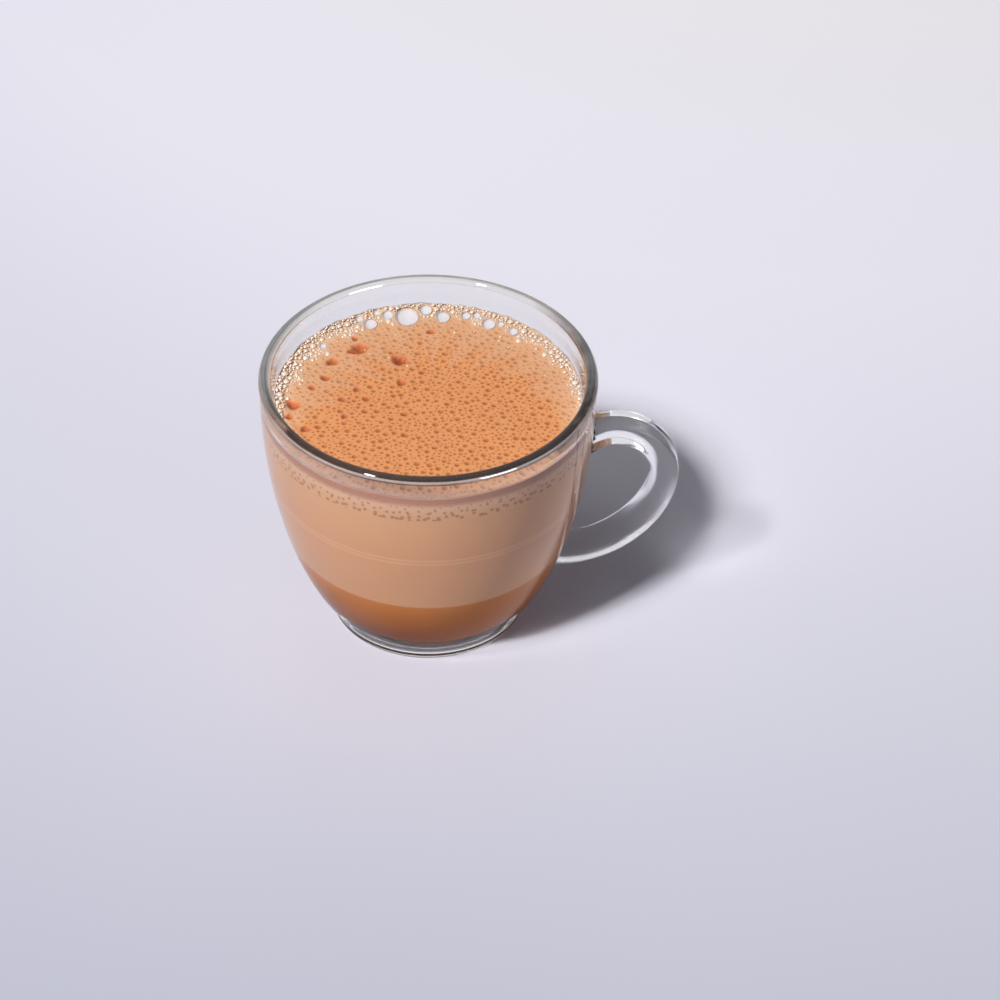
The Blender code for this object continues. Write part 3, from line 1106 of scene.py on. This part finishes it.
def add_tube(verts, faces, path):
    """A closed tube along a closed path of points that is nowhere upright."""
    base, count = len(verts), len(path)
    for i, point in enumerate(path):
        along = (Vector(path[(i + 1) % count]) - Vector(path[i - 1])).normalized()
        across = along.cross(Vector((0, 0, 1))).normalized()
        other = along.cross(across)
        for k in range(TUBE_SIDES):
            t = 2 * math.pi * k / TUBE_SIDES
            offset = across * (BORDER_THICKNESS * math.cos(t)) + other * (BORDER_THICKNESS * math.sin(t))
            verts.append(tuple(Vector(point) + offset))
    for i in range(count):
        low, high = base + i * TUBE_SIDES, base + (i + 1) % count * TUBE_SIDES
        for k in range(TUBE_SIDES):
            n = (k + 1) % TUBE_SIDES
            faces.append((low + k, low + n, high + n, high + k))


def build_borders():
    """The fine line where each large bubble meets the froth. Where it meets the wall, it climbs it."""
    verts, faces = [], []
    for middle_x, middle_y, radius in BIG_BUBBLES:
        path = []
        for k in range(BORDER_POINTS):
            t = 2 * math.pi * k / BORDER_POINTS
            x, y = middle_x + radius * math.cos(t), middle_y + BUBBLE_STRETCH * radius * math.sin(t)
            inward = min(1.0, (DISC_RADIUS - BORDER_THICKNESS) / math.hypot(x, y))
            path.append((x * inward, y * inward, FROTH_LEVEL + BORDER_CLIMB * max(0.0, y * (1 - inward))))
        add_tube(verts, faces, path)
    mesh = bpy.data.meshes.new("bubble_borders")
    mesh.from_pydata(verts, [], faces)
    mesh.shade_smooth()
    place("bubble_borders", mesh, film_material())


def build_wall_film():
    """The thin grey edge of the froth's film along the wall, tapered towards its ends."""
    build = bmesh.new()
    rings = []
    for i in range(FILM_STEPS + 1):
        angle = FILM_START + FILM_ARC * i / FILM_STEPS
        height = FROTH_LEVEL + FILM_LIFT + waves(angle, FILM_WAVES)
        thick = FILM_THICKNESS * min(1.0, FILM_END_SHARE + min(i, FILM_STEPS - i) / FILM_TAPER_STEPS)
        turn = math.radians(angle)
        ring = []
        for k in range(TUBE_SIDES):
            t = 2 * math.pi * k / TUBE_SIDES
            away = DISC_RADIUS - FILM_INSET - thick * math.cos(t)
            up = height + thick * math.sin(t)
            ring.append(build.verts.new((away * math.cos(turn), away * math.sin(turn), up)))
        rings.append(ring)
    build.faces.new(rings[0])
    for first, second in zip(rings, rings[1:]):
        bridge(build, first, second)
    build.faces.new(rings[-1])
    smooth_piece("wall_film", build, film_material())


# Floor, light and camera

def build_stage():
    """A pale floor with painted light: brightest at a place behind the cup, falling off a little away from
    it.
    """
    build = bmesh.new()
    bmesh.ops.create_grid(build, x_segments=1, y_segments=1, size=STAGE_HALF)
    mesh = bpy.data.meshes.new("floor")
    build.to_mesh(mesh)
    build.free()
    floor = linked("floor", mesh)
    floor.location = (0, 0, -STAGE_DROP)
    made, tree, shader = new_material("pale_floor", roughness=0.9, specular=0.1)
    distance = node(tree, "ShaderNodeVectorMath", operation="DISTANCE")
    link(tree, object_axes(tree)[0], distance.inputs[0])
    distance.inputs[1].default_value = FLOOR_BRIGHTEST
    colour = ramp(tree, FLOOR_TONES, span(tree, distance.outputs["Value"], *FLOOR_FALL))
    link(tree, colour, shader.inputs["Base Color"])
    mesh.materials.append(made)


def build_lights():
    """Soft lamps. The one that only brightens the floor behind the cup stays out of the glass."""
    for name, (position, target, size, power, colour) in LAMPS.items():
        lamp = bpy.data.lights.new(name, "AREA")
        lamp.size = size
        lamp.energy = power
        lamp.color = colour
        obj = linked(name, lamp)
        obj.location = position
        obj.rotation_euler = (Vector(target) - Vector(position)).to_track_quat("-Z", "Y").to_euler()
        obj.visible_glossy = name != "back_floor"
        obj.visible_transmission = name != "back_floor"


def build_world():
    """A dim fill for matt surfaces, and bright surroundings for glass and gloss to show."""
    world = bpy.data.worlds.new("studio")
    bpy.context.scene.world = world
    world.use_nodes = True
    tree = world.node_tree
    fill = tree.nodes["Background"]
    shown = node(tree, "ShaderNodeBackground")
    for made, colour, strength in ((fill, FILL_COLOUR, FILL_STRENGTH), (shown, SHOWN_COLOUR, SHOWN_STRENGTH)):
        feed(tree, colour, made.inputs["Color"])
        feed(tree, strength, made.inputs["Strength"])
    path = node(tree, "ShaderNodeLightPath")
    shiny = maths(tree, "MAXIMUM", path.outputs["Is Glossy Ray"], path.outputs["Is Transmission Ray"])
    direct = maths(tree, "LESS_THAN", path.outputs["Diffuse Depth"], 0.5)
    mix = node(tree, "ShaderNodeMixShader")
    link(tree, maths(tree, "MULTIPLY", shiny, direct), mix.inputs["Fac"])
    link(tree, fill.outputs[0], mix.inputs[1])
    link(tree, shown.outputs[0], mix.inputs[2])
    link(tree, mix.outputs[0], tree.nodes["World Output"].inputs["Surface"])
    bpy.context.scene.view_settings.view_transform = "Standard"


def build_camera():
    lens = bpy.data.cameras.new("camera")
    lens.lens = FOCAL_LENGTH
    lens.sensor_width = SENSOR_WIDTH
    lens.shift_x = CAMERA_SHIFT
    camera = linked("camera", lens)
    camera.location = CAMERA_PLACE
    camera.rotation_euler = (math.pi / 2 - CAMERA_PITCH, 0, 0)
    bpy.context.scene.camera = camera


build_camera()
build_cup()
build_chai()
edge_beads, dimple_circles = froth_circles()
build_froth(dimple_circles)
build_caps(
    "wall_bubbles", BIG_BUBBLES, skin_material(), rise=0.55, rings=12, sides=40, stretch=BUBBLE_STRETCH
)
build_caps("edge_bubbles", edge_beads, bead_material(), rise=0.6, rings=4, sides=14, climb=CAP_CLIMB)
build_glints()
build_borders()
build_wall_film()
build_stage()
build_lights()
build_world()
